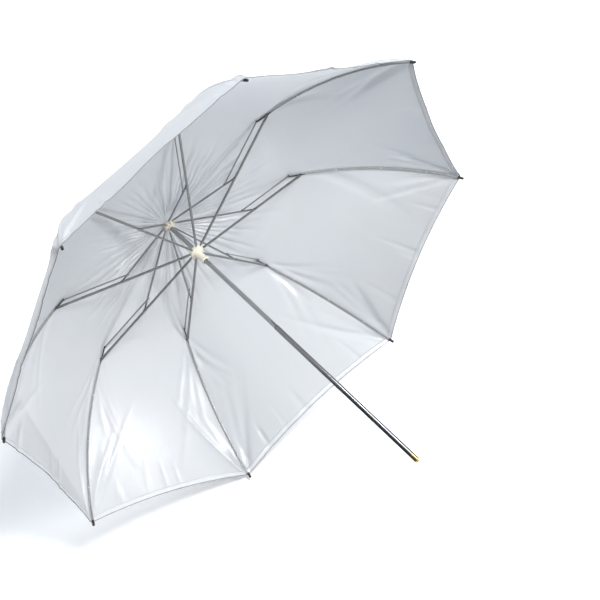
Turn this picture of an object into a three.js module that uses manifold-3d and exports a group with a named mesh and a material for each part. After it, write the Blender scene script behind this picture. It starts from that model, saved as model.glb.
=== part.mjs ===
// Folding umbrella reflector for a studio light, with eight two-fold ribs.
// Millimetres, +Z up. The shaft lies along Y with the crown towards +Y.
// The origin is on the lower tube's axis, where a stand bracket grips it.
import * as THREE from "three";
import { mergeVertices } from "three/addons/utils/BufferGeometryUtils.js";
import Module from "manifold-3d";

const wasm = await Module();
wasm.setup();

// ---- driving dimensions -------------------------------------------------
// A station is a distance from the crown's pivot plane towards the handle end.
const GRIP_STATION = 540;
const RIB_COUNT = 8;
const SHAFT_END_STATION = 660;
const TUBE_JOINT_STATION = 303;
const TELESCOPE_OVERLAP = 20;
const END_CAP_LENGTH = 15;
const LOWER_TUBE_R = 4.5;
const LOWER_TUBE_BORE = 4.1;
const UPPER_TUBE_R = 4;
const UPPER_TUBE_BORE = 3.55;
const ROUND_SEGMENTS = 32;
const COLLAR_SEGMENTS = 24;

const CROWN_PIVOT_R = 8.5;
const RUNNER_PIVOT_R = 10;
const RUNNER_STATION = 81;
const TOP_RIB_ANGLE = THREE.MathUtils.degToRad(24.3);
const TOP_RIB_LENGTH = 147.1;
const STRETCHER_OUTER_LENGTH = 121.3;
const LINK_OFFSET = 22;
const TIP_RADIUS = 486;
const TIP_STATION = 228;
const OUTER_RIB_SAG = 21;
const TIP_CAP_LENGTH = 11;

const CHANNEL_HALF = 1.5;
const LANE_HALF = 0.9;
const BLADE_HALF = 0.6;
const WEB_DEPTH = 2.2;
const FLANGE_RISE = 1;
const MOUTH_LENGTH = 13;
const RIB_HALF = 1.2;
const ROD_HALF = 1.1;
const PIN_R = 0.5;
const PIN_HOLE_R = 0.8;

const CANOPY_THICKNESS = 0.7;
const CANOPY_CLEARANCE = 2.7;
const CANOPY_CENTRE_R = 4.6;
const HEM_CUT = 13;
const SEAM_GAP = 0.15;

// ---- materials ----------------------------------------------------------
const material = (color, roughness, metalness) =>
  new THREE.MeshStandardMaterial({ color, roughness, metalness });
const ivory = material(0xe9e3d0, 0.45, 0);
const chrome = material(0xc4c6c9, 0.18, 1);
const satinSteel = material(0xa3a5a8, 0.34, 1);
const darkSteel = material(0x4a4c50, 0.42, 0.9);
const springSteel = material(0x5c5e62, 0.35, 1);
const brass = material(0xc79a4b, 0.28, 1);
const blackPlastic = material(0x1a1a1b, 0.5, 0);
const satinCloth = material(0xf2f3f4, 0.55, 0);
satinCloth.side = THREE.DoubleSide;

// ---- solids -------------------------------------------------------------
function toSolid(geometry) {
  const bare = geometry.clone();
  for (const name of Object.keys(bare.attributes)) {
    if (name !== "position") bare.deleteAttribute(name);
  }
  const merged = mergeVertices(bare, 1e-4);
  return new wasm.Manifold(new wasm.Mesh({
    numProp: 3,
    vertProperties: new Float32Array(merged.attributes.position.array),
    triVerts: new Uint32Array(merged.index.array),
  }));
}

function toGeometry(solid) {
  const mesh = solid.getMesh();
  const geometry = new THREE.BufferGeometry();
  geometry.setAttribute("position", new THREE.BufferAttribute(mesh.vertProperties, 3));
  geometry.setIndex(new THREE.BufferAttribute(mesh.triVerts, 1));
  const flat = geometry.toNonIndexed();
  flat.computeVertexNormals();
  return flat;
}

function join(...solids) {
  return solids.reduce((sum, next) => sum.add(next));
}

// A rib is drawn in its own plane: x is the radius and y the distance along the shaft.
const stationToY = (station) => GRIP_STATION - station;
const point = (radius, station) => new THREE.Vector2(radius, stationToY(station));

function plate(outline, low, high) {
  const shape = new THREE.Shape(outline);
  const geometry = new THREE.ExtrudeGeometry(shape, { depth: high - low, bevelEnabled: false });
  geometry.translate(0, 0, low);
  return toSolid(geometry);
}

function barOutline(start, end, below, above, roundStart, roundEnd) {
  const along = end.clone().sub(start).normalize();
  const up = new THREE.Vector2(-along.y, along.x);
  const middle = (above - below) / 2;
  const half = (above + below) / 2;
  const at = (base, x, y) => base.clone().addScaledVector(along, x).addScaledVector(up, middle + y);
  const outline = [];
  const cap = (base, from, rounded) => {
    const steps = rounded ? 3 : 1;
    for (let i = 0; i <= steps; i += 1) {
      const turn = from + Math.PI * i / steps;
      const reach = rounded ? half * Math.cos(turn) : 0;
      outline.push(at(base, reach, half * Math.sin(turn)));
    }
  };
  cap(end, -Math.PI / 2, roundEnd);
  cap(start, Math.PI / 2, roundStart);
  return outline;
}

function bar(start, end, half, low, high, roundStart = true, roundEnd = true) {
  return plate(barOutline(start, end, half, half, roundStart, roundEnd), low, high);
}

function pin(centre, radius, low, high, segments = 8) {
  const geometry = new THREE.CylinderGeometry(radius, radius, high - low, segments);
  geometry.rotateX(Math.PI / 2);
  geometry.translate(centre.x, centre.y, (low + high) / 2);
  return toSolid(geometry);
}

function revolve(points, segments) {
  if (THREE.ShapeUtils.area(points) < 0) points.reverse();
  if (points.every((spot) => spot.x > 0)) points.push(points[0].clone());
  return new THREE.LatheGeometry(points, segments);
}

function turned(profile, segments = ROUND_SEGMENTS) {
  const points = profile.map(([radius, station]) => point(radius, station));
  return toSolid(revolve(points, segments));
}

function radialSlot(angle, width, inner, outer, low, high) {
  const box = new THREE.BoxGeometry(outer - inner, high - low, width);
  box.translate((inner + outer) / 2, stationToY((low + high) / 2), 0);
  box.rotateY(angle);
  return toSolid(box);
}

function cutSlots(solid, width, inner, outer, low, high) {
  let result = solid;
  for (let i = 0; i < RIB_COUNT; i += 1) {
    const angle = i * 2 * Math.PI / RIB_COUNT;
    result = result.subtract(radialSlot(angle, width, inner, outer, low, high));
  }
  return result;
}

// ---- rib linkage in its own plane ---------------------------------------
const toVector = (angle) => new THREE.Vector2(Math.cos(angle), -Math.sin(angle));
const ribAxis = toVector(TOP_RIB_ANGLE);
const crownPivot = point(CROWN_PIVOT_R, 0);
const runnerPivot = point(RUNNER_PIVOT_R, RUNNER_STATION);
const elbow = crownPivot.clone().addScaledVector(ribAxis, TOP_RIB_LENGTH);
const stretcherAxis = elbow.clone().sub(runnerPivot).normalize();
const knee = elbow.clone().addScaledVector(stretcherAxis, STRETCHER_OUTER_LENGTH);
const linkInner = elbow.clone().addScaledVector(ribAxis, -LINK_OFFSET);
const linkOuter = knee.clone().addScaledVector(ribAxis, -LINK_OFFSET);
const ribEnd = point(TIP_RADIUS, TIP_STATION);

function outerRibPoint(t) {
  const chord = ribEnd.clone().sub(knee);
  const outward = new THREE.Vector2(-chord.y, chord.x).normalize();
  const bulge = 4 * OUTER_RIB_SAG * t * (1 - t);
  return knee.clone().addScaledVector(chord, t).addScaledVector(outward, bulge);
}

function outerRibNormal(t) {
  const ahead = outerRibPoint(Math.min(1, t + 0.01));
  const behind = outerRibPoint(Math.max(0, t - 0.01));
  const along = ahead.sub(behind).normalize();
  return new THREE.Vector2(-along.y, along.x);
}

function topRib() {
  const eye = bar(crownPivot.clone().addScaledVector(ribAxis, 1.9),
    crownPivot.clone().addScaledVector(ribAxis, 13), 0.9, -BLADE_HALF, BLADE_HALF);
  const body = bar(crownPivot.clone().addScaledVector(ribAxis, 8),
    elbow.clone().addScaledVector(ribAxis, -12), RIB_HALF, -RIB_HALF, RIB_HALF, false, false);
  const blade = bar(elbow.clone().addScaledVector(ribAxis, -16), elbow, 1.3,
    -BLADE_HALF, BLADE_HALF);
  const rivet = join(pin(linkInner, PIN_R, 0, 2.7), pin(linkInner, 1, 2.6, 3, 8));
  const hole = pin(elbow, PIN_HOLE_R, -2, 2);
  return toGeometry(join(eye, body, blade, rivet).subtract(hole));
}

function stretcher() {
  const along = (distance) => runnerPivot.clone().addScaledVector(stretcherAxis, distance);
  const length = runnerPivot.distanceTo(knee);
  const sides = barOutline(along(7), along(length + 0.1), WEB_DEPTH, FLANGE_RISE, false, true);
  const channel = plate(sides, -CHANNEL_HALF, CHANNEL_HALF);
  const inside = barOutline(along(6), along(length + 5), WEB_DEPTH - 0.5, 5, false, false);
  const lane = plate(inside, -LANE_HALF, LANE_HALF);
  const mouth = bar(along(length - MOUTH_LENGTH), along(length + 5), 4,
    -LANE_HALF, LANE_HALF, false, false);
  const eye = bar(runnerPivot, along(9), 1.45, -BLADE_HALF, BLADE_HALF, true, false);
  const root = plate(barOutline(along(6), along(14), WEB_DEPTH - 0.1, 0.8, false, false),
    -BLADE_HALF, BLADE_HALF);
  const rivets = [elbow, knee].map((centre) => join(
    pin(centre, PIN_R, -1.9, 1.9),
    pin(centre, 0.9, -1.9, -1.4, 8),
    pin(centre, 0.9, 1.4, 1.9, 8)));
  const solid = join(channel.subtract(lane).subtract(mouth), eye, root, ...rivets);
  return toGeometry(solid.subtract(pin(runnerPivot, PIN_HOLE_R, -2, 2)));
}

function link() {
  const strip = bar(linkInner, linkOuter, 1.4, 1.5, 2.3);
  const holes = join(pin(linkInner, PIN_HOLE_R, 1, 3), pin(linkOuter, PIN_HOLE_R, 1, 3));
  return toGeometry(strip.subtract(holes));
}

function outerRib() {
  const steps = 9;
  const first = 0.045;
  const last = 1 - 2 / 290;
  const upper = [];
  const lower = [];
  for (let i = 0; i <= steps; i += 1) {
    const t = first + (last - first) * i / steps;
    const centre = outerRibPoint(t);
    const normal = outerRibNormal(t);
    upper.push(centre.clone().addScaledVector(normal, ROD_HALF));
    lower.push(centre.clone().addScaledVector(normal, -ROD_HALF));
  }
  const rod = plate([...lower, ...upper.reverse()], -ROD_HALF, ROD_HALF);
  const heel = bar(linkOuter, knee, 1.3, -BLADE_HALF, BLADE_HALF);
  const toe = bar(knee, outerRibPoint(0.07), 1.3, -BLADE_HALF, BLADE_HALF);
  const rivet = join(pin(linkOuter, PIN_R, 0, 2.7), pin(linkOuter, 1, 2.6, 3, 8));
  return toGeometry(join(rod, heel, toe, rivet).subtract(pin(knee, PIN_HOLE_R, -2, 2)));
}

function tipCap() {
  const end = outerRibPoint(1);
  const normal = outerRibNormal(1);
  const along = new THREE.Vector2(normal.y, -normal.x);
  const profile = [[0, 3.6], [1.6, 3.2], [2.4, 2], [2.4, -4], [2.2, -7.5], [1.95, -7.5],
    [1.95, 0.3], [0, 0.3]];
  const points = profile.map(([radius, reach]) => new THREE.Vector2(radius, reach));
  const geometry = revolve(points, 10);
  geometry.rotateZ(Math.atan2(along.y, along.x) - Math.PI / 2);
  geometry.translate(end.x, end.y, 0);
  return toGeometry(toSolid(geometry));
}

// ---- canopy -------------------------------------------------------------
const RING_T = [0, 0.1, 0.22, 0.35, 0.5, 0.65, 0.8, 0.92];
const CANOPY_LAST_T = 0.985;

function canopyProfile() {
  const shoulder = linkOuter.clone().addScaledVector(ribAxis, -1.5)
    .addScaledVector(outerRibNormal(0), CANOPY_CLEARANCE + 0.3);
  const centre = point(CANOPY_CENTRE_R, -3.4);
  const ledge = point(8.2, -3.4);
  const profile = [centre, ledge];
  for (let i = 1; i <= 5; i += 1) profile.push(ledge.clone().lerp(shoulder, i / 5));
  for (const t of [...RING_T, CANOPY_LAST_T]) {
    const lift = CANOPY_CLEARANCE + (t > 0.85 ? 0.6 : 0);
    profile.push(outerRibPoint(t).addScaledVector(outerRibNormal(t), lift));
  }
  return profile;
}

function profileNormal(profile, index) {
  const ahead = profile[Math.min(profile.length - 1, index + 1)];
  const behind = profile[Math.max(0, index - 1)];
  const along = ahead.clone().sub(behind).normalize();
  return new THREE.Vector2(-along.y, along.x);
}

function canopyGore() {
  const profile = canopyProfile();
  const across = 4;
  const rows = profile.length;
  const half = Math.PI / RIB_COUNT;
  const vertices = [];
  const place = (row, column, lift) => {
    const w = column / across;
    const normal = profileNormal(profile, row);
    const spot = profile[row].clone();
    if (row === rows - 1) {
      const back = profile[row - 1].clone().sub(spot).normalize();
      spot.addScaledVector(back, HEM_CUT * 4 * w * (1 - w));
    }
    spot.addScaledVector(normal, lift);
    const reach = spot.x * Math.sin(half) - SEAM_GAP;
    vertices.push(spot.x * Math.cos(half), spot.y, reach * (2 * w - 1));
  };
  for (const lift of [CANOPY_THICKNESS / 2, -CANOPY_THICKNESS / 2]) {
    for (let row = 0; row < rows; row += 1) {
      for (let column = 0; column <= across; column += 1) place(row, column, lift);
    }
  }
  const layer = rows * (across + 1);
  const id = (row, column, side) => side * layer + row * (across + 1) + column;
  const faces = [];
  const quad = (a, b, c, d) => faces.push(a, b, c, a, c, d);
  for (let row = 0; row < rows - 1; row += 1) {
    for (let column = 0; column < across; column += 1) {
      quad(id(row, column, 0), id(row, column + 1, 0),
        id(row + 1, column + 1, 0), id(row + 1, column, 0));
      quad(id(row, column, 1), id(row + 1, column, 1),
        id(row + 1, column + 1, 1), id(row, column + 1, 1));
    }
    quad(id(row, 0, 0), id(row + 1, 0, 0), id(row + 1, 0, 1), id(row, 0, 1));
    quad(id(row, across, 0), id(row, across, 1),
      id(row + 1, across, 1), id(row + 1, across, 0));
  }
  for (let column = 0; column < across; column += 1) {
    quad(id(0, column, 0), id(0, column, 1), id(0, column + 1, 1), id(0, column + 1, 0));
    quad(id(rows - 1, column, 0), id(rows - 1, column + 1, 0),
      id(rows - 1, column + 1, 1), id(rows - 1, column, 1));
  }
  const geometry = new THREE.BufferGeometry();
  geometry.setAttribute("position", new THREE.Float32BufferAttribute(vertices, 3));
  geometry.setIndex(faces);
  const flat = geometry.toNonIndexed();
  flat.computeVertexNormals();
  return flat;
}

// ---- shaft, crown and runner --------------------------------------------
function lowerTube() {
  const foot = SHAFT_END_STATION - END_CAP_LENGTH;
  return turned([
    [LOWER_TUBE_BORE, TUBE_JOINT_STATION], [LOWER_TUBE_R - 0.2, TUBE_JOINT_STATION],
    [LOWER_TUBE_R, TUBE_JOINT_STATION + 0.6], [LOWER_TUBE_R, foot], [LOWER_TUBE_BORE, foot],
  ]);
}

function endCap() {
  const foot = SHAFT_END_STATION - END_CAP_LENGTH;
  return turned([
    [0, foot - 12], [3.8, foot - 12], [3.8, foot + 0.3], [LOWER_TUBE_R, foot + 0.3],
    [LOWER_TUBE_R, SHAFT_END_STATION - 1], [LOWER_TUBE_R - 1, SHAFT_END_STATION],
    [0, SHAFT_END_STATION],
  ]);
}

const RUNNER_CATCH = { steep: 110.5, shallow: 122, window: [109.8, 123] };
const SHAFT_CATCH = { steep: 302.3, shallow: 291, window: [290, 303] };

function catchWindow([low, high]) {
  const box = new THREE.BoxGeometry(2.1, high - low, 4);
  box.translate(0, stationToY((low + high) / 2), 4.4);
  return toSolid(box);
}

function upperTube() {
  const foot = TUBE_JOINT_STATION + TELESCOPE_OVERLAP;
  const tube = turned([
    [UPPER_TUBE_BORE, 1], [UPPER_TUBE_R, 1], [UPPER_TUBE_R, foot], [UPPER_TUBE_BORE, foot],
  ]);
  const cut = tube.subtract(catchWindow(RUNNER_CATCH.window))
    .subtract(catchWindow(SHAFT_CATCH.window));
  return cut;
}

function springCatch({ steep, shallow }) {
  const outward = Math.sign(shallow - steep);
  const spots = [[steep, 1.7], [steep, 5.4], [steep + outward * 2.5, 5.4],
    [shallow, 3.1], [shallow + outward * 6, 2.8], [shallow + outward * 6, 1.7]];
  const outline = spots.map(([station, height]) => new THREE.Vector2(height, stationToY(station)));
  if (THREE.ShapeUtils.area(outline) < 0) outline.reverse();
  const geometry = new THREE.ExtrudeGeometry(new THREE.Shape(outline),
    { depth: 1.4, bevelEnabled: false });
  geometry.translate(0, 0, -0.7);
  geometry.rotateY(-Math.PI / 2);
  return geometry;
}

function crownHub() {
  const body = turned([
    [4.3, -2], [6.3, -2], [6.3, -0.6], [6.7, -0.6], [6.7, 1.2], [8.3, 1.2], [8.3, -1.4],
    [10.2, -1.4], [10.5, -1], [10.5, 4.6], [9.8, 5.2], [6.4, 6.2], [5.6, 9.6], [4.3, 9.6],
  ], COLLAR_SEGMENTS);
  return cutSlots(body, 1.9, 6.9, 12, -4, 12);
}

function crownWire() {
  const ring = new THREE.TorusGeometry(7.5, 0.4, 5, 24);
  ring.rotateX(Math.PI / 2);
  ring.translate(0, stationToY(0.1), 0);
  return toGeometry(toSolid(ring));
}

function crownWasher() {
  return turned([[4.4, -2.8], [7.2, -2.8], [7.2, -2.3], [4.4, -2.3]], 16);
}

function crownCap() {
  return turned([
    [0, 7], [3.2, 7], [3.2, -4], [7.4, -4], [7.4, -5], [6.4, -7.6], [5, -8.8], [0, -8.8],
  ], 24);
}

function runner() {
  const s = RUNNER_STATION;
  const body = turned([
    [4.85, s - 2.6], [8.9, s - 2.6], [9.2, s - 2.2], [9.2, s + 0.9], [10.8, s + 0.9],
    [10.8, s - 2.2], [12.6, s - 2.2], [13, s - 1.8], [13, s + 3.6], [12.2, s + 4.4],
    [8, s + 5.4], [7, s + 8], [6.4, s + 15], [6.6, s + 22], [7.6, s + 25.4], [7.6, s + 27.4],
    [7, s + 28.2], [4.85, s + 28.2],
  ], COLLAR_SEGMENTS);
  return cutSlots(body, 1.9, 7.6, 15, s - 5, s + 2.2);
}

function runnerWire() {
  const ring = new THREE.TorusGeometry(RUNNER_PIVOT_R, 0.4, 5, 32);
  ring.rotateX(Math.PI / 2);
  ring.translate(0, stationToY(RUNNER_STATION), 0);
  return toGeometry(toSolid(ring));
}

// ---- assembly -----------------------------------------------------------
const assembly = new THREE.Group();

function add(parent, name, shape, skin) {
  const geometry = shape.isBufferGeometry ? shape : toGeometry(shape);
  const mesh = new THREE.Mesh(geometry, skin);
  mesh.name = name;
  parent.add(mesh);
  return mesh;
}

add(assembly, "lower_tube", lowerTube(), chrome);
add(assembly, "end_cap", endCap(), brass);
add(assembly, "upper_tube", upperTube(), satinSteel);
add(assembly, "shaft_catch", springCatch(SHAFT_CATCH), springSteel);
add(assembly, "runner_catch", springCatch(RUNNER_CATCH), springSteel);
add(assembly, "crown_hub", crownHub(), ivory);
add(assembly, "crown_wire", crownWire(), springSteel);
add(assembly, "crown_washer", crownWasher(), satinCloth);
add(assembly, "crown_cap", crownCap(), blackPlastic);
add(assembly, "runner", runner(), ivory);
add(assembly, "runner_wire", runnerWire(), springSteel);

const ribShapes = {
  top_rib: [topRib(), darkSteel],
  stretcher: [stretcher(), darkSteel],
  link: [link(), springSteel],
  outer_rib: [outerRib(), darkSteel],
  tip: [tipCap(), blackPlastic],
};
const goreShape = canopyGore();

for (let k = 1; k <= RIB_COUNT; k += 1) {
  const angle = 2 * Math.PI * k / RIB_COUNT - Math.PI / 2;
  const ribPlane = new THREE.Group();
  ribPlane.rotation.y = angle;
  for (const [name, [shape, skin]] of Object.entries(ribShapes)) {
    add(ribPlane, `${name}_${k}`, shape, skin);
  }
  assembly.add(ribPlane);
  const gorePlane = new THREE.Group();
  gorePlane.rotation.y = angle + Math.PI / RIB_COUNT;
  add(gorePlane, `canopy_gore_${k}`, goreShape, satinCloth);
  assembly.add(gorePlane);
}

export default assembly;
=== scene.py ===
"""Looks of the folding umbrella reflector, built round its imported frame.

Metres, +Z up. The shaft lies along Y with the crown at +Y. A rib's plane is drawn as (radius, station):
radius from the shaft's axis, and station from the crown towards the handle.
"""
import math

import bpy
import numpy as np
from mathutils import Matrix, Vector


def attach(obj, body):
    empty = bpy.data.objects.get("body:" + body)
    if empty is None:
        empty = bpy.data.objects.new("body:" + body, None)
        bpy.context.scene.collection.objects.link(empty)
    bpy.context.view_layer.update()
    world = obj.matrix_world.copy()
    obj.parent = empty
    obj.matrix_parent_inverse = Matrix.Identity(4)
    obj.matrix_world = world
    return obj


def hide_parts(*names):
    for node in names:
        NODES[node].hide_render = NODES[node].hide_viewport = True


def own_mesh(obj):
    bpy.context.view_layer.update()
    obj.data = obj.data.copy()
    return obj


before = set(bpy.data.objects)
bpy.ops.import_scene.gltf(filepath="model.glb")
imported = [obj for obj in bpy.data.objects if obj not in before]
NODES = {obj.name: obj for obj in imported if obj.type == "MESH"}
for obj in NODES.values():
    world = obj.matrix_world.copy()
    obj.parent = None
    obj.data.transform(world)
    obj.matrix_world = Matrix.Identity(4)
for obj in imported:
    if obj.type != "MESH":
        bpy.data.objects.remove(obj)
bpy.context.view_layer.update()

# ---- the same driving dimensions as the frame, in metres --------------------
GRIP = 0.540
RIBS = 8
CROWN_PIVOT_R = 0.0085
RUNNER_PIVOT_R = 0.010
RUNNER_STATION = 0.081
TOP_RIB_ANGLE = math.radians(24.3)
TOP_RIB_LENGTH = 0.1471
STRETCHER_OUTER = 0.1213
LINK_OFFSET = 0.022
TIP_R = 0.486
TIP_STATION = 0.228
RIB_SAG = 0.021
CANOPY_LIFT = 0.0027
HEM_CUT = 0.013
HEM_WIDTH = 0.0085
HALF = math.pi / RIBS


def toward(angle):
    """A direction in a rib's plane: (radius, station)."""
    return np.array([math.cos(angle), math.sin(angle)])


crown_pivot = np.array([CROWN_PIVOT_R, 0.0])
runner_pivot = np.array([RUNNER_PIVOT_R, RUNNER_STATION])
elbow = crown_pivot + TOP_RIB_LENGTH * toward(TOP_RIB_ANGLE)
stretcher_axis = (elbow - runner_pivot) / np.linalg.norm(elbow - runner_pivot)
knee = elbow + STRETCHER_OUTER * stretcher_axis
rib_axis = toward(TOP_RIB_ANGLE)
link_outer = knee - LINK_OFFSET * rib_axis
rib_end = np.array([TIP_R, TIP_STATION])


def outward(direction):
    """The side of a line in the rib's plane that faces away from the handle."""
    return np.array([direction[1], -direction[0]])


def rib_point(t):
    chord = rib_end - knee
    side = outward(chord / np.linalg.norm(chord))
    return knee + chord * t + side * 4 * RIB_SAG * t * (1 - t)


def rib_side(t):
    d = rib_point(min(1, t + 0.01)) - rib_point(max(0, t - 0.01))
    return outward(d / np.linalg.norm(d))


def lift_at(t):
    return CANOPY_LIFT + 0.0006 * min(1, max(0, (t - 0.8) / 0.12))


# ---- the cloth's surface ----------------------------------------------------
CLOTH_HOLE = np.array([0.0046, -0.0034])
CLOTH_LEDGE = np.array([0.0082, -0.0034])
SHOULDER_STEPS = 24
CLOTH_REACH = 0.985
ROUNDING = 34
BELLY = 0.85
ALWAYS = (5, 6)
PUCKER_PITCH = 0.0085


def seam_profile():
    """The cloth's line along a rib as (radius, station), and where it passes the knee."""
    shoulder = link_outer - 0.0015 * rib_axis + rib_side(0) * (CANOPY_LIFT + 0.0003)
    line = [CLOTH_HOLE, CLOTH_LEDGE]
    line += [CLOTH_LEDGE + (shoulder - CLOTH_LEDGE) * i / SHOULDER_STEPS
             for i in range(1, SHOULDER_STEPS + 1)]
    line += [rib_point(t) + rib_side(t) * lift_at(t) for t in np.linspace(0, CLOTH_REACH, 40)]
    line = np.array(line)
    along = np.concatenate([[0], np.cumsum(np.linalg.norm(np.diff(line, axis=0), axis=1))])
    return line, along, along[SHOULDER_STEPS + 2]


LINE, ALONG, KNEE_S = seam_profile()
CLOTH_S = float(ALONG[-1])
Q_KNEE = KNEE_S / CLOTH_S


def smoothed_line():
    """The same line with its shoulder rounded, for the middle of a gore."""
    s = np.linspace(0, CLOTH_S, 400)
    flat = np.stack([np.interp(s, ALONG, LINE[:, i]) for i in range(2)], axis=1)
    out = flat.copy()
    for i in range(len(s)):
        reach = min(i, len(s) - 1 - i, ROUNDING)
        out[i] = flat[i - reach : i + reach + 1].mean(axis=0)
    return s, flat, out


S_TAB, SEAM_TAB, MID_TAB = smoothed_line()


def crease(v, centre, width):
    """A soft ridge along centre, 1 at its top."""
    return np.exp(-(((v - centre) / width) ** 2))


def window(x, a, b, c, d):
    """0 outside a to d, 1 between b and c."""
    up = np.clip((x - a) / (b - a), 0, 1)
    down = np.clip((d - x) / (d - c), 0, 1)
    m = np.minimum(up, down)
    return m * m * (3 - 2 * m)


def slack(s, w, k):
    """How far the cloth stands off its taut shape: slack pleats, pulled creases and flutter.

    v runs from -1 on one rib to 1 on the next, and hold is 0 where the ribs hold the cloth.
    """
    rng = np.random.default_rng(100 + k)
    v = 2 * w - 1
    hold = 1 - v**2
    total = np.zeros_like(s)
    # seven pleats that spread from the crown, in cloth that sags between the inner bars
    inner = window(s, 0.012, 0.07, 0.16, KNEE_S + 0.02)
    for i in range(7):
        centre = -0.82 + 1.64 * (i + rng.uniform(0.2, 0.8)) / 7
        width = rng.uniform(0.045, 0.085)
        fade = window(s, 0.01, rng.uniform(0.04, 0.07), rng.uniform(0.09, 0.15),
                      rng.uniform(0.19, KNEE_S + 0.03))
        total += rng.uniform(0.0022, 0.0052) * fade * crease(v, centre, width)
    total -= 0.006 * inner * hold
    total += 0.0012 * inner * hold * np.sin(s * 95 + v * 3 + rng.uniform(0, 6))
    # creases pulled from each knee across the gore
    for side in (-1, 1):
        for i in range(4):
            spread = rng.uniform(0.25, 1.1)
            start = KNEE_S - 0.01 + 0.012 * i
            line = side * (1 - spread * np.clip((s - start) / 0.3, 0, 1) * 1.15)
            fade = window(s, start, start + 0.03, start + 0.06, start + rng.uniform(0.13, 0.26))
            total += rng.uniform(0.0008, 0.002) * fade * crease(v, line, 0.05)
    # creases pulled into the two tips
    for side in (-1, 1):
        for i in range(4):
            slope = rng.uniform(0.18, 0.75)
            line = side * (1 - slope * np.clip((CLOTH_S - s) / 0.2, 0, 1))
            fade = window(s, CLOTH_S - rng.uniform(0.12, 0.22), CLOTH_S - 0.07,
                          CLOTH_S - 0.02, CLOTH_S + 0.02)
            total += rng.uniform(0.0012, 0.0026) * fade * crease(v, line, 0.045)
    # short creases that run in from the hem
    for i in range(5):
        centre = rng.uniform(-0.85, 0.85)
        reach = rng.uniform(0.035, 0.1)
        line = centre * (1 + rng.uniform(-1.2, 1.2) * (CLOTH_S - s))
        fade = window(s, CLOTH_S - reach - 0.02, CLOTH_S - reach * 0.4, *ALWAYS)
        total += rng.uniform(0.0007, 0.0018) * fade * crease(v, line, rng.uniform(0.018, 0.035))
    # puckers along the seams
    pucker = np.exp(-(((1 - np.abs(v)) * (s + 0.02) / 0.012) ** 2))
    fade = window(s, 0.03, 0.06, CLOTH_S - 0.02, CLOTH_S)
    total += 0.00028 * pucker * np.sin(s * 2 * math.pi / PUCKER_PITCH + k) * fade
    # a slow swell, and flutter at the hem
    fade = window(s, KNEE_S, KNEE_S + 0.08, *ALWAYS)
    total += 0.0016 * hold * fade * np.sin(s * 14 + v * 2.2 + rng.uniform(0, 6))
    fade = window(s, CLOTH_S - 0.08, CLOTH_S, *ALWAYS)
    total += 0.0011 * hold * fade * np.sin(v * 7.5 + rng.uniform(0, 6))
    return total * np.clip(hold * 6, 0, 1) * window(s, 0.008, 0.03, *ALWAYS)


def taut(s, w, k):
    """Points of gore k's taut surface. s runs from the crown to the hem, w from rib k to the next."""
    tables = []
    for table in (SEAM_TAB, MID_TAB):
        tables.append([np.interp(s, S_TAB, table[:, i]) for i in range(2)])
    mix = np.clip(1 - (2 * w - 1) ** 2, 0, 1) * BELLY
    (r0, h0), (r1, h1) = tables
    r, h = r0 + (r1 - r0) * mix, h0 + (h1 - h0) * mix
    angle = 2 * math.pi * k / RIBS
    a, b = angle, angle + 2 * HALF
    x = r * ((1 - w) * math.sin(a) + w * math.sin(b))
    z = r * ((1 - w) * math.cos(a) + w * math.cos(b))
    return np.stack([x, GRIP - h, z], axis=-1)


def hem_s(w):
    """Where gore cloth ends: the hem curves in between the tips."""
    return CLOTH_S - HEM_CUT * 4 * w * (1 - w)


def facing(surface, q, w, step):
    """Unit normals of surface(q, w), on the side away from the handle."""
    du = surface(np.minimum(q + step, 1), w) - surface(np.maximum(q - step, 0), w)
    dv = surface(q, np.minimum(w + step, 1)) - surface(q, np.maximum(w - step, 0))
    n = np.cross(dv, du)
    n /= np.maximum(np.linalg.norm(n, axis=-1, keepdims=True), 1e-12)
    return n * np.where(n[..., 1:2] < 0, -1, 1)


def spot(q, w, k):
    """Points of gore k and their normals. q is 0 at the crown and 1 at the hem."""
    q, w = np.broadcast_arrays(np.asarray(q, float), np.asarray(w, float))

    def flat(qq, ww):
        return taut(qq * hem_s(ww), ww, k)

    def full(qq, ww):
        stand_off = slack(qq * hem_s(ww), ww, k)[..., None]
        return flat(qq, ww) + facing(flat, qq, ww, 1e-3) * stand_off

    return full(q, w), facing(full, q, w, 6e-4)


# ---- mesh helpers -----------------------------------------------------------
def new_object(name, verts, faces, normals=None, smooth=True, materials=(), indices=None):
    mesh = bpy.data.meshes.new(name)
    mesh.from_pydata([tuple(map(float, v)) for v in verts], [], [tuple(map(int, f)) for f in faces])
    for m in materials:
        mesh.materials.append(m)
    if indices is not None:
        mesh.polygons.foreach_set("material_index", indices)
    mesh.polygons.foreach_set("use_smooth", [smooth] * len(mesh.polygons))
    mesh.update()
    if normals is not None:
        mesh.normals_split_custom_set_from_vertices([tuple(map(float, n)) for n in normals])
    obj = bpy.data.objects.new(name, mesh)
    bpy.context.scene.collection.objects.link(obj)
    return obj


def grid_faces(rows, cols, flip=False):
    faces = []
    for i in range(rows - 1):
        for j in range(cols - 1):
            a = i * cols + j
            f = (a, a + 1, a + cols + 1, a + cols)
            faces.append(f[::-1] if flip else f)
    return faces


def area_of(points, faces):
    """The area of a mesh of four-sided faces."""
    total = 0.0
    for f in faces:
        a, b, c, d = (points[i] for i in f)
        total += np.linalg.norm(np.cross(c - a, d - b)) / 2
    return total


def joined(parts):
    """One vertex and face list out of several, with a material number for a part or for each face."""
    verts, faces, index = [], [], []
    for v, f, m in parts:
        base = len(verts)
        verts += list(v)
        faces += [tuple(i + base for i in face) for face in f]
        index += m if isinstance(m, list) else [m] * len(f)
    return verts, faces, index


def rib_frame(k):
    """Rib k's outward and tangential directions."""
    a = 2 * math.pi * k / RIBS
    return np.array([math.sin(a), 0, math.cos(a)]), np.array([math.cos(a), 0, -math.sin(a)])


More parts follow.
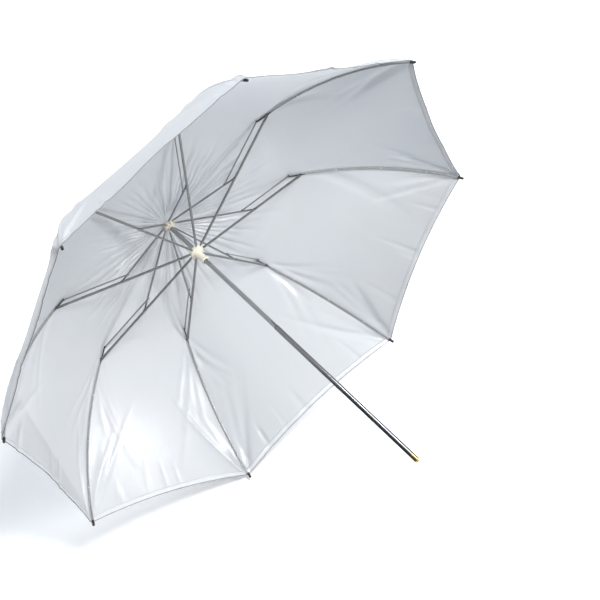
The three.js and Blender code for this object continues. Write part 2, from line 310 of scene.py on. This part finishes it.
def in_rib(k, r, h, t=0.0):
    """A place in rib k's plane, or t to its side."""
    out, side = rib_frame(k)
    return out * r + side * t + np.array([0, GRIP - h, 0])


# ---- materials --------------------------------------------------------------
def node_material(name):
    m = bpy.data.materials.new(name)
    m.use_nodes = True
    m.node_tree.nodes.clear()
    out = m.node_tree.nodes.new("ShaderNodeOutputMaterial")
    return m, m.node_tree, out


def add(nt, kind, **values):
    """A new node with its settings and input values."""
    n = nt.nodes.new(kind)
    for key, value in values.items():
        if hasattr(n, key):
            setattr(n, key, value)
        else:
            n.inputs[key.replace("_", " ")].default_value = value
    return n


def ramp(nt, fac, stops):
    """A colour ramp driven by fac; stops are (position, colour)."""
    n = nt.nodes.new("ShaderNodeValToRGB")
    n.color_ramp.elements[0].position, n.color_ramp.elements[0].color = stops[0]
    n.color_ramp.elements[1].position, n.color_ramp.elements[1].color = stops[-1]
    for pos, col in stops[1:-1]:
        e = n.color_ramp.elements.new(pos)
        e.color = col
    nt.links.new(fac, n.inputs["Fac"])
    return n


def grey(v, tint=(1, 1, 1)):
    return (v * tint[0], v * tint[1], v * tint[2], 1)


def plain_surface(name, colour, colour2, rough, metallic, scale=60.0, bump=0.02, coat=0.0,
                  stretch=(1, 1, 1), rough_spread=0.08):
    """A surface whose colour, roughness and fine relief vary a little, as moulded or drawn parts do."""
    m, nt, out = node_material(name)
    b = add(nt, "ShaderNodeBsdfPrincipled", Metallic=metallic, Coat_Weight=coat)
    where = add(nt, "ShaderNodeTexCoord")
    mapping = add(nt, "ShaderNodeMapping")
    mapping.inputs["Scale"].default_value = stretch
    nt.links.new(where.outputs["Object"], mapping.inputs["Vector"])
    noise = add(nt, "ShaderNodeTexNoise", Scale=scale, Detail=5.0, Roughness=0.6)
    nt.links.new(mapping.outputs["Vector"], noise.inputs["Vector"])
    tone = ramp(nt, noise.outputs["Fac"], [(0.3, colour), (0.75, colour2)])
    nt.links.new(tone.outputs["Color"], b.inputs["Base Color"])
    spread = add(nt, "ShaderNodeMapRange", From_Min=0.3, From_Max=0.7,
                 To_Min=rough - rough_spread, To_Max=rough + rough_spread)
    nt.links.new(noise.outputs["Fac"], spread.inputs["Value"])
    nt.links.new(spread.outputs["Result"], b.inputs["Roughness"])
    fine = add(nt, "ShaderNodeTexNoise", Scale=scale * 9, Detail=3.0)
    nt.links.new(mapping.outputs["Vector"], fine.inputs["Vector"])
    relief = add(nt, "ShaderNodeBump", Strength=bump * 10, Distance=0.0001)
    nt.links.new(fine.outputs["Fac"], relief.inputs["Height"])
    nt.links.new(relief.outputs["Normal"], b.inputs["Normal"])
    nt.links.new(b.outputs["BSDF"], out.inputs["Surface"])
    return m


def banded_steel(name, first, second, start, end, rough, metallic):
    """Two tones of steel on one part: first nearer the shaft than start, second beyond end."""
    m, nt, out = node_material(name)
    b = add(nt, "ShaderNodeBsdfPrincipled", Metallic=metallic)
    where = add(nt, "ShaderNodeTexCoord")
    flat = add(nt, "ShaderNodeVectorMath", operation="MULTIPLY")
    flat.inputs[1].default_value = (1, 0, 1)
    nt.links.new(where.outputs["Object"], flat.inputs[0])
    radius = add(nt, "ShaderNodeVectorMath", operation="LENGTH")
    nt.links.new(flat.outputs["Vector"], radius.inputs[0])
    place = add(nt, "ShaderNodeMapRange", From_Min=start, From_Max=end)
    nt.links.new(radius.outputs["Value"], place.inputs["Value"])
    bands = ramp(nt, place.outputs["Result"], [(0.0, first), (1.0, second)])
    noise = add(nt, "ShaderNodeTexNoise", Scale=140.0, Detail=5.0, Roughness=0.6)
    nt.links.new(where.outputs["Object"], noise.inputs["Vector"])
    wear = ramp(nt, noise.outputs["Fac"], [(0.3, grey(0.8)), (0.75, grey(1.0))])
    both = add(nt, "ShaderNodeMix", data_type="RGBA", blend_type="MULTIPLY")
    both.inputs["Factor"].default_value = 1.0
    nt.links.new(bands.outputs["Color"], both.inputs[6])
    nt.links.new(wear.outputs["Color"], both.inputs[7])
    nt.links.new(both.outputs[2], b.inputs["Base Color"])
    spread = add(nt, "ShaderNodeMapRange", From_Min=0.3, From_Max=0.7,
                 To_Min=rough - 0.07, To_Max=rough + 0.08)
    nt.links.new(noise.outputs["Fac"], spread.inputs["Value"])
    nt.links.new(spread.outputs["Result"], b.inputs["Roughness"])
    relief = add(nt, "ShaderNodeBump", Strength=0.25, Distance=0.0001)
    nt.links.new(noise.outputs["Fac"], relief.inputs["Height"])
    nt.links.new(relief.outputs["Normal"], b.inputs["Normal"])
    nt.links.new(b.outputs["BSDF"], out.inputs["Surface"])
    return m


def satin_cloth(name, tone=0.72, through=0.36):
    """Thin white satin: a silky gloss, light through it, a fine weave and crushed creases."""
    m, nt, out = node_material(name)
    where = add(nt, "ShaderNodeTexCoord")
    cloud = add(nt, "ShaderNodeTexNoise", Scale=7.0, Detail=3.0)
    nt.links.new(where.outputs["Object"], cloud.inputs["Vector"])
    colour = ramp(nt, cloud.outputs["Fac"], [
        (0.3, (tone * 0.935, tone * 0.968, tone, 1)), (0.75, (tone * 0.96, tone * 0.982, tone, 1))])
    face = add(nt, "ShaderNodeBsdfPrincipled", Roughness=0.3, Specular_IOR_Level=0.7,
               Sheen_Weight=0.25, Sheen_Roughness=0.35)
    nt.links.new(colour.outputs["Color"], face.inputs["Base Color"])
    back = add(nt, "ShaderNodeBsdfTranslucent")
    nt.links.new(colour.outputs["Color"], back.inputs["Color"])
    weave = add(nt, "ShaderNodeTexWave", Scale=420.0, Distortion=0.6, Detail=1.0,
                bands_direction="DIAGONAL")
    nt.links.new(where.outputs["Object"], weave.inputs["Vector"])
    crush = add(nt, "ShaderNodeTexNoise", Scale=26.0, Detail=4.0, Roughness=0.55, Distortion=0.4)
    nt.links.new(where.outputs["Object"], crush.inputs["Vector"])
    relief = add(nt, "ShaderNodeBump", Strength=0.35, Distance=0.0012)
    nt.links.new(crush.outputs["Fac"], relief.inputs["Height"])
    threads = add(nt, "ShaderNodeBump", Strength=0.12, Distance=0.00008)
    nt.links.new(weave.outputs["Fac"], threads.inputs["Height"])
    nt.links.new(relief.outputs["Normal"], threads.inputs["Normal"])
    for n in (face, back):
        nt.links.new(threads.outputs["Normal"], n.inputs["Normal"])
    mix = add(nt, "ShaderNodeMixShader")
    mix.inputs["Fac"].default_value = through
    nt.links.new(face.outputs["BSDF"], mix.inputs[1])
    nt.links.new(back.outputs["BSDF"], mix.inputs[2])
    nt.links.new(mix.outputs["Shader"], out.inputs["Surface"])
    return m


SHARP_ANGLE = math.radians(32)
CLOTH = satin_cloth("white_satin")
HEM = satin_cloth("satin_hem", tone=0.68, through=0.1)
# painted shade: a dark grey for the hem's turned edge, standing in for the shaded line along the hem
PAINTED_SHADE_EDGE = plain_surface("hem_edge_painted_shade", (0.2, 0.205, 0.21, 1), (0.27, 0.275, 0.28, 1), 0.6, 0.0, scale=500)
THREAD = plain_surface("sewing_thread", grey(0.62), grey(0.72), 0.6, 0.0, scale=900)
STEEL_DARK = plain_surface("dark_rib_steel", grey(0.22), grey(0.32), 0.34, 0.95, scale=120, bump=0.03)
STEEL_ROD = banded_steel("outer_rib_steel", grey(0.09), grey(0.42), 0.266, 0.272, 0.4, 0.5)
STEEL_TOP = banded_steel("top_rib_steel", grey(0.33), grey(0.14), 0.128, 0.136, 0.34, 0.9)
STEEL_RIVET = plain_surface("rivet_steel", grey(0.07), grey(0.13), 0.36, 0.9, scale=200, bump=0.02)
STEEL_LINK = plain_surface("link_steel", grey(0.3), grey(0.4), 0.34, 0.9, scale=120, bump=0.03)
CHROME = plain_surface("polished_tube", grey(0.27), grey(0.32), 0.2, 1.0, scale=40, bump=0.004,
                       stretch=(1, 0.08, 1), rough_spread=0.04)
SATIN = plain_surface("satin_tube", grey(0.42), grey(0.5), 0.3, 1.0, scale=60, bump=0.01,
                      stretch=(1, 0.06, 1), rough_spread=0.06)
SPRING = plain_surface("spring_steel", grey(0.3), grey(0.4), 0.28, 1.0, scale=90, bump=0.01)
IVORY = plain_surface("ivory_plastic", (0.62, 0.58, 0.48, 1), (0.68, 0.64, 0.54, 1), 0.38, 0.0,
                      scale=70, bump=0.015, coat=0.15)
BRASS = plain_surface("brass_cap", (0.62, 0.40, 0.14, 1), (0.74, 0.52, 0.22, 1), 0.24, 1.0,
                      scale=80, bump=0.01, stretch=(1, 0.2, 1))
BLACK = plain_surface("black_plastic", grey(0.012), grey(0.03), 0.42, 0.0, scale=150, bump=0.02)

node_looks = {
    "lower_tube": CHROME, "upper_tube": SATIN, "end_cap": BRASS, "crown_hub": IVORY,
    "runner": IVORY, "crown_cap": BLACK, "crown_wire": SPRING, "runner_wire": SPRING,
    "shaft_catch": SPRING, "runner_catch": SPRING, "crown_washer": CLOTH,
}
for k in range(1, RIBS + 1):
    node_looks[f"top_rib_{k}"] = STEEL_TOP
    node_looks[f"stretcher_{k}"] = STEEL_DARK
    node_looks[f"outer_rib_{k}"] = STEEL_ROD
    node_looks[f"link_{k}"] = STEEL_LINK
    node_looks[f"tip_{k}"] = BLACK
for name, look in node_looks.items():
    data = NODES[name].data
    data.materials.clear()
    data.materials.append(look)
    data.polygons.foreach_set("use_smooth", [True] * len(data.polygons))
    data.set_sharp_from_angle(angle=SHARP_ANGLE)
# the lower tube slides over both catches; each catch gets a mesh of its own
for name in ("shaft_catch", "runner_catch"):
    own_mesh(NODES[name])

# ---- rivets and ties --------------------------------------------------------
link_inner = elbow - LINK_OFFSET * rib_axis * 0.995
FORK_FACE = 0.0018
LINK_FACE = -0.0029
RIVET_R, RIVET_HEIGHT = 0.0016, 0.0007
TIE_PLACES = (0.22, 0.5, 0.78)
TIE_IN, TIE_OUT, TIE_THREAD = 0.0016, 0.0034, 0.00026


def dome(centre, axis, across, up, radius, height):
    """A low rivet head."""
    verts, faces = [], []
    rings = [(1.0, -0.15), (1.0, 0.25), (0.86, 0.62), (0.5, 0.93)]
    count = 14
    for r, h in rings:
        for i in range(count):
            a = 2 * math.pi * i / count
            verts.append(centre + axis * height * h
                         + (across * math.cos(a) + up * math.sin(a)) * radius * r)
    verts.append(centre + axis * height)
    for j in range(len(rings) - 1):
        for i in range(count):
            a, b = j * count + i, j * count + (i + 1) % count
            faces.append((a, b, b + count, a + count))
    top = (len(rings) - 1) * count
    faces += [(top + i, top + (i + 1) % count, len(verts) - 1) for i in range(count)]
    return verts, faces


def loop(rib, t, radius_in, radius_out, thread):
    """A thread tie round the rod and through the cloth."""
    centre = rib_point(t)
    side2 = rib_side(t)
    out, side = rib_frame(rib)
    up = out * side2[0] - np.array([0, side2[1], 0])
    along2 = np.array([-side2[1], side2[0]])
    along = out * along2[0] - np.array([0, along2[1], 0])
    middle = in_rib(rib, *centre) + up * (radius_out - radius_in) / 2
    tall = (radius_out + radius_in) / 2
    verts, faces = [], []
    turns, count, ring = 3, 18, 6
    for j in range(turns * count + 1):
        a = 2 * math.pi * j / count
        c = middle + side * radius_in * math.cos(a) + up * tall * math.sin(a)
        c = c + along * thread * 2.1 * (j / count - turns / 2)
        n = side * math.cos(a) + up * math.sin(a)
        for i in range(ring):
            b = 2 * math.pi * i / ring
            verts.append(c + (n * math.cos(b) + along * math.sin(b)) * thread)
    for j in range(turns * count):
        for i in range(ring):
            a, b = j * ring + i, j * ring + (i + 1) % ring
            faces.append((a, b, b + ring, a + ring))
    return verts, faces


for k in range(1, RIBS + 1):
    out, side = rib_frame(k)
    up = np.array([0.0, 1.0, 0.0])
    for body, spots in ((f"stretcher_{k}", ((elbow, FORK_FACE), (elbow, -FORK_FACE),
                                            (knee, FORK_FACE), (knee, -FORK_FACE))),
                        (f"top_rib_{k}", ((link_inner, LINK_FACE),)),
                        (f"outer_rib_{k}", ((link_outer, LINK_FACE),))):
        parts = [dome(in_rib(k, *centre, t=reach), side * math.copysign(1, reach), out, up,
                      RIVET_R, RIVET_HEIGHT) + (0,) for centre, reach in spots]
        if body.startswith("outer"):
            parts += [loop(k, t, TIE_IN, TIE_OUT, TIE_THREAD) + (1,) for t in TIE_PLACES]
        verts, faces, index = joined(parts)
        fittings = new_object(f"fittings_{body}", verts, faces, materials=[STEEL_RIVET, THREAD],
                              indices=index)
        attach(fittings, body)

# ---- canopy -----------------------------------------------------------------
# Outer cloth goes with its rib; inner cloth goes with the upper shaft, in pieces that end at a cut which
# bulges out towards the hem at mid-gore.
SECTORS = 10
CUT_BULGE = 0.17
MID_GORE_DIP = 0.076
ROWS_OUT, COLS_OUT = 60, 31
ROWS_IN, COLS_IN = 46, 7
SEAM_HALF = 0.0034
SEAM_START = 0.12
STITCH_PITCH, STITCH_LENGTH = 0.0034, 0.0023


def gather_outer(obj, rib):
    """Attach an outer piece to its rib's body, with a mesh of its own."""
    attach(obj, f"outer_rib_{rib}")
    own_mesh(obj)


def gather_inner(obj, share):
    """Attach an inner piece to the upper shaft's body, with a mesh of its own. share is 0 on a rib and 1
    at mid-gore; the rim worked out from it is not used.
    """
    cut_s = KNEE_S * (1 + CUT_BULGE * share)
    rim = np.array([np.interp(cut_s, ALONG, LINE[:, i]) for i in range(2)])
    rim *= np.array([1 - MID_GORE_DIP * share, 1])
    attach(obj, "shaft_upper")
    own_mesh(obj)


def middle_share(w):
    """0 on a rib and 1 at mid-gore."""
    return 1 - abs(2 * w - 1)


def cut_q(w):
    """Where the inner cloth ends and the outer cloth begins: square to the rib on either side."""
    return Q_KNEE * (1 + CUT_BULGE * middle_share(w))


def patch(name, k, rows, ws, outer):
    """A piece of gore k's cloth, and its area: from the cut to the hem, or from the crown to the cut."""
    f, w = np.meshgrid(np.linspace(0, 1, rows), ws, indexing="ij")
    points, normals = spot(cut_q(w) + (1 - cut_q(w)) * f if outer else cut_q(w) * f, w, k)
    points, normals = points.reshape(-1, 3), normals.reshape(-1, 3)
    faces = grid_faces(rows, len(ws), flip=True)
    obj = new_object(name, points, faces, normals, materials=[CLOTH])
    return obj, area_of(points, faces)


def stitches(line, normals, pitch, length, radius):
    """Small raised threads along a line, one after another."""
    steps = np.concatenate([[0], np.cumsum(np.linalg.norm(np.diff(line, axis=0), axis=1))])
    count = max(2, int(steps[-1] / pitch))
    verts, faces = [], []
    for i in range(count):
        middle = (i + 0.5) * steps[-1] / count
        ends = [middle - length / 2, middle + length / 2]
        p = [np.array([np.interp(s, steps, line[:, c]) for c in range(3)]) for s in ends]
        n = np.array([np.interp(middle, steps, normals[:, c]) for c in range(3)])
        n /= np.linalg.norm(n)
        along = (p[1] - p[0]) / np.linalg.norm(p[1] - p[0])
        across = np.cross(along, n)
        base = len(verts)
        for t, lift in ((0, -0.4), (0.25, 0.7), (0.75, 0.7), (1, -0.4)):
            c = p[0] + (p[1] - p[0]) * t + n * radius * lift
            verts += [c + across * radius, c + n * radius, c - across * radius]
        for j in range(3):
            for a, b in ((0, 1), (1, 2)):
                v = base + 3 * j
                faces.append((v + a, v + b, v + 3 + b, v + 3 + a))
    return verts, faces


def hem_band(name, k, ws):
    """The hem: cloth turned over the edge and sewn down, on both faces."""
    hem_q = HEM_WIDTH / CLOTH_S
    ring = [(1 - hem_q, 0.00012), (1 - hem_q, 0.0005), (1 - hem_q * 0.5, 0.00062), (1, 0.0006)]
    rows = []
    for q, lift in ring:
        p, n = spot(q, ws, k)
        rows.append(p - n * lift)
    edge, n_edge = spot(1, ws, k)
    before, _ = spot(1 - 0.004, ws, k)
    beyond = edge - before
    beyond /= np.linalg.norm(beyond, axis=1, keepdims=True)
    for a in (-1.0, -0.4, 0.4, 1.0):
        rows.append(edge + beyond * 0.0016 * math.cos(a) + n_edge * 0.0008 * math.sin(a))
    for q, lift in ring[::-1]:
        p, n = spot(q, ws, k)
        rows.append(p + n * lift)
    grid = np.array(rows)
    faces = grid_faces(len(rows), len(ws))
    # the rows that turn round the edge get a painted shade: dark grey standing in for the shaded line
    # along the hem
    painted_shade_index = [2 if 3 <= i // (len(ws) - 1) <= 7 else 0 for i in range(len(faces))]
    parts = [(grid.reshape(-1, 3), faces, painted_shade_index)]
    line, n = spot(1 - hem_q * 0.8, ws, k)
    for way in (-1, 1):
        v, f = stitches(line + n * way * 0.00058, n * way, STITCH_PITCH, STITCH_LENGTH, 0.0003)
        parts.append((v, f, 1))
    verts, faces, index = joined(parts)
    return new_object(name, verts, faces, materials=[HEM, THREAD, PAINTED_SHADE_EDGE], indices=index)


def seam_strip(name, rib, q0, q1, count):
    """The felled seam along a rib, on the face away from the handle, with its two rows of stitches."""
    qs = np.linspace(q0, q1, count)
    rows, mids = [], {}
    for offset, lift in ((-1.05, 0.0001), (-1, 0.0005), (-0.4, 0.00072), (0, 0.0008), (0.4, 0.00072),
                         (1, 0.0005), (1.05, 0.0001)):
        k = rib if offset >= 0 else (rib - 2) % RIBS + 1
        at, _ = spot(qs, 0.0 if offset >= 0 else 1.0, k)
        r = np.hypot(at[:, 0], at[:, 2])
        w = np.minimum(0.45, np.abs(offset) * np.minimum(SEAM_HALF, r * 0.3) / np.maximum(
            2 * r * math.sin(HALF), 1e-4))
        p, n = spot(qs, w if offset >= 0 else 1 - w, k)
        rows.append(p + n * lift)
        if abs(offset) == 0.4:
            mids[offset] = (p + n * 0.0007, n)
    grid = np.array(rows)
    parts = [(grid.reshape(-1, 3), grid_faces(len(rows), count, flip=True), 0)]
    for line, n in mids.values():
        v, f = stitches(line, n, STITCH_PITCH, STITCH_LENGTH, 0.00028)
        parts.append((v, f, 1))
    verts, faces, index = joined(parts)
    return new_object(name, verts, faces, materials=[HEM, THREAD], indices=index)


hem_q_end = 1 - 0.5 * HEM_WIDTH / CLOTH_S
for k in range(1, RIBS + 1):
    following = k % RIBS + 1
    for half, rib, way in (("a", k, 1), ("b", following, -1)):
        ws = np.linspace(0, 0.5, COLS_OUT) if half == "a" else np.linspace(0.5, 1, COLS_OUT)
        obj, area = patch(f"canopy_outer_{k}{half}", k, ROWS_OUT, ws, True)
        gather_outer(obj, rib)
        if half == "a":
            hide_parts(f"canopy_gore_{k}")
        band = hem_band(f"hem_{k}{half}", k, ws)
        gather_outer(band, rib)
    for i in range(SECTORS):
        w0, w1 = i / SECTORS, (i + 1) / SECTORS
        middle = (w0 + w1) / 2
        obj, area = patch(f"canopy_inner_{k}_{i + 1}", k, ROWS_IN, np.linspace(w0, w1, COLS_IN), False)
        gather_inner(obj, middle_share(middle))
    seam = seam_strip(f"seam_outer_{k}", k, Q_KNEE, hem_q_end, 70)
    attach(seam, f"outer_rib_{k}")
    seam = seam_strip(f"seam_inner_{k}", k, Q_KNEE * SEAM_START, Q_KNEE, 56)
    gather_inner(seam, 0)

# ---- camera and light -------------------------------------------------------
camera = bpy.data.objects.new("camera", bpy.data.cameras.new("camera"))
bpy.context.scene.collection.objects.link(camera)
camera.data.sensor_width = 36
camera.data.lens = 110.96
camera.data.clip_start, camera.data.clip_end = 0.1, 50
camera.location = (-1.285, -1.363, 2.294)
look = Vector((0.434, 0.520, -0.735)).normalized()
right = Vector((0.778, -0.628, 0.0156))
right = (right - look * right.dot(look)).normalized()
up = right.cross(look)
camera.rotation_mode = "QUATERNION"
camera.rotation_quaternion = Matrix((right, up, -look)).transposed().to_quaternion()
bpy.context.scene.camera = camera


def pale_floor():
    """White paper: it shows bright out to the horizon, and throws a moderate light back up."""
    m, nt, out = node_material("floor")
    b = add(nt, "ShaderNodeBsdfDiffuse")
    b.inputs["Color"].default_value = grey(0.55)
    seen = add(nt, "ShaderNodeBsdfDiffuse")
    seen.inputs["Color"].default_value = grey(0.93)
    glow = add(nt, "ShaderNodeEmission")
    where = add(nt, "ShaderNodeTexCoord")
    reach = add(nt, "ShaderNodeVectorMath", operation="LENGTH")
    nt.links.new(where.outputs["Object"], reach.inputs[0])
    far = add(nt, "ShaderNodeMapRange", From_Min=0.9, From_Max=3.0, To_Min=0.12, To_Max=1.0)
    nt.links.new(reach.outputs["Value"], far.inputs["Value"])
    nt.links.new(far.outputs["Result"], glow.inputs["Strength"])
    total = add(nt, "ShaderNodeAddShader")
    nt.links.new(seen.outputs["BSDF"], total.inputs[0])
    nt.links.new(glow.outputs["Emission"], total.inputs[1])
    path = add(nt, "ShaderNodeLightPath")
    mix = add(nt, "ShaderNodeMixShader")
    nt.links.new(path.outputs["Is Camera Ray"], mix.inputs["Fac"])
    nt.links.new(b.outputs["BSDF"], mix.inputs[1])
    nt.links.new(total.outputs["Shader"], mix.inputs[2])
    nt.links.new(mix.outputs["Shader"], out.inputs["Surface"])
    return m


FLOOR_Z = -0.5
FLOOR_REACH = 30
LAMP_AIM = Vector((0, 0.35, 0))
corners = [(x * FLOOR_REACH, y * FLOOR_REACH, FLOOR_Z) for x, y in ((-1, -1), (1, -1), (1, 1), (-1, 1))]
floor = new_object("floor", corners, [(0, 1, 2, 3)], smooth=False, materials=[pale_floor()])
# a dark card that only reflections see, so that the bright tube reads as polished
card = new_object("card", [(-0.3, -0.35, -0.49), (-0.3, 0.9, -0.49), (-0.42, 0.9, 0.02),
                           (-0.42, -0.35, 0.02)], [(0, 1, 2, 3)], smooth=False, materials=[BLACK])
card.visible_camera = card.visible_diffuse = card.visible_shadow = False
card.visible_transmission = card.visible_volume_scatter = False


def lamp(name, place, size, power, colour=(1, 1, 1)):
    data = bpy.data.lights.new(name, "AREA")
    data.size, data.energy, data.color = size, power, colour
    data.shape = "DISK"
    obj = bpy.data.objects.new(name, data)
    bpy.context.scene.collection.objects.link(obj)
    obj.location = place
    obj.rotation_mode = "QUATERNION"
    obj.rotation_quaternion = (LAMP_AIM - Vector(place)).to_track_quat("-Z", "Y")


lamp("over_front", (-0.25, -0.75, 2.8), 0.9, 98)
lamp("low_right", (1.9, -1.9, 0.9), 0.9, 62)
lamp("low_left", (-2.1, -1.45, 1.2), 1.4, 5, (0.9, 0.95, 1))
lamp("over_back", (0.7, 1.7, 2.6), 1.4, 58, (0.88, 0.94, 1))


def room():
    """A soft dim room: brighter above, cooler below, and plain white where the camera sees it."""
    world = bpy.data.worlds.new("world")
    bpy.context.scene.world = world
    world.use_nodes = True
    nt = world.node_tree
    nt.nodes.clear()
    where = add(nt, "ShaderNodeTexCoord")
    lean = add(nt, "ShaderNodeVectorMath", operation="DOT_PRODUCT")
    lean.inputs[1].default_value = (-0.14, -0.06, 0.988)
    nt.links.new(where.outputs["Generated"], lean.inputs[0])
    spread = add(nt, "ShaderNodeMapRange", From_Min=-1.0, From_Max=1.0)
    nt.links.new(lean.outputs["Value"], spread.inputs["Value"])
    tone = ramp(nt, spread.outputs["Result"], [
        (0.0, (0.05, 0.06, 0.08, 1)), (0.5, (0.07, 0.085, 0.115, 1)),
        (0.75, (0.12, 0.135, 0.165, 1)), (1.0, (0.3, 0.31, 0.33, 1))])
    light = add(nt, "ShaderNodeBackground")
    nt.links.new(tone.outputs["Color"], light.inputs["Color"])
    white = add(nt, "ShaderNodeBackground", Color=(1, 1, 1, 1))
    path = add(nt, "ShaderNodeLightPath")
    mix = add(nt, "ShaderNodeMixShader")
    nt.links.new(path.outputs["Is Camera Ray"], mix.inputs["Fac"])
    nt.links.new(light.outputs["Background"], mix.inputs[1])
    nt.links.new(white.outputs["Background"], mix.inputs[2])
    out = add(nt, "ShaderNodeOutputWorld")
    nt.links.new(mix.outputs["Shader"], out.inputs["Surface"])


room()
bpy.context.scene.view_settings.view_transform = "Standard"
